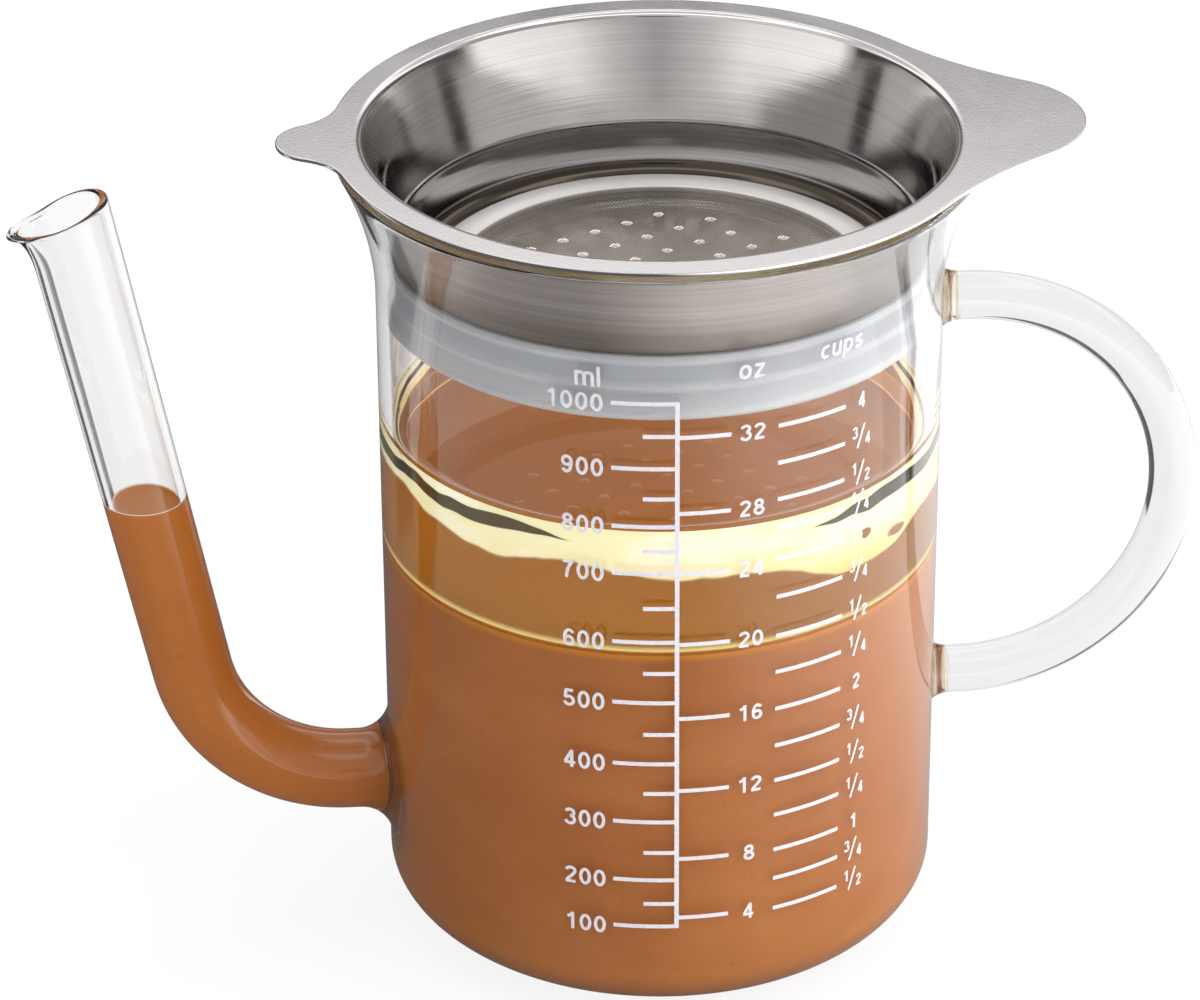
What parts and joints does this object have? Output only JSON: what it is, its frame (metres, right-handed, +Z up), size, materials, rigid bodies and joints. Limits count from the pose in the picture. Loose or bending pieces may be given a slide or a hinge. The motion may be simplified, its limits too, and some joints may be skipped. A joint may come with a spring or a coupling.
{
  "type": "gravy fat separator",
  "caption": "Glass jug whose pouring spout leaves the wall near the base, with a rod handle and a lift-out steel strainer on a ribbed gasket.",
  "frame": {"origin": "centre of the jug's flat base, on the jug's axis", "axes": "+Z up along the jug's axis, spout towards -X, handle and lifting tab towards +X"},
  "size_m": [0.2263, 0.1226, 0.1645],
  "materials": {
    "jug_glass": "clear blown borosilicate glass with a white printed volume scale",
    "spout_glass": "clear glass tube",
    "handle_glass": "clear glass rod",
    "silicone": "translucent milky silicone, satin",
    "funnel_steel": "satin flange, polished cone",
    "cup_steel": "polished wall, perforated satin floor",
    "ring_steel": "satin folded sheet",
    "mesh_steel": "fine woven wire"
  },
  "bodies": {
    "jug": {"jug_body": "jug_glass", "pouring_spout": "spout_glass", "handle": "handle_glass"},
    "gasket": {"seal_gasket": "silicone"},
    "strainer": {"strainer_funnel": "funnel_steel", "strainer_cup": "cup_steel"},
    "filter": {"filter_ring": "ring_steel", "filter_mesh": "mesh_steel"}
  },
  "joints": [
    {"name": "strainer_lift", "type": "slide", "parent": "jug", "child": "gasket", "axis": [0, 0, 1], "range_m": [0, 0.06]},
    {"name": "strainer_turn", "type": "hinge", "parent": "gasket", "child": "strainer", "pos_m": [0, 0, 0.1435], "axis": [0, 0, 1], "continuous": true},
    {"name": "filter_lift", "type": "slide", "parent": "strainer", "child": "filter", "axis": [0, 0, 1], "range_m": [0, 0.05]}
  ]
}
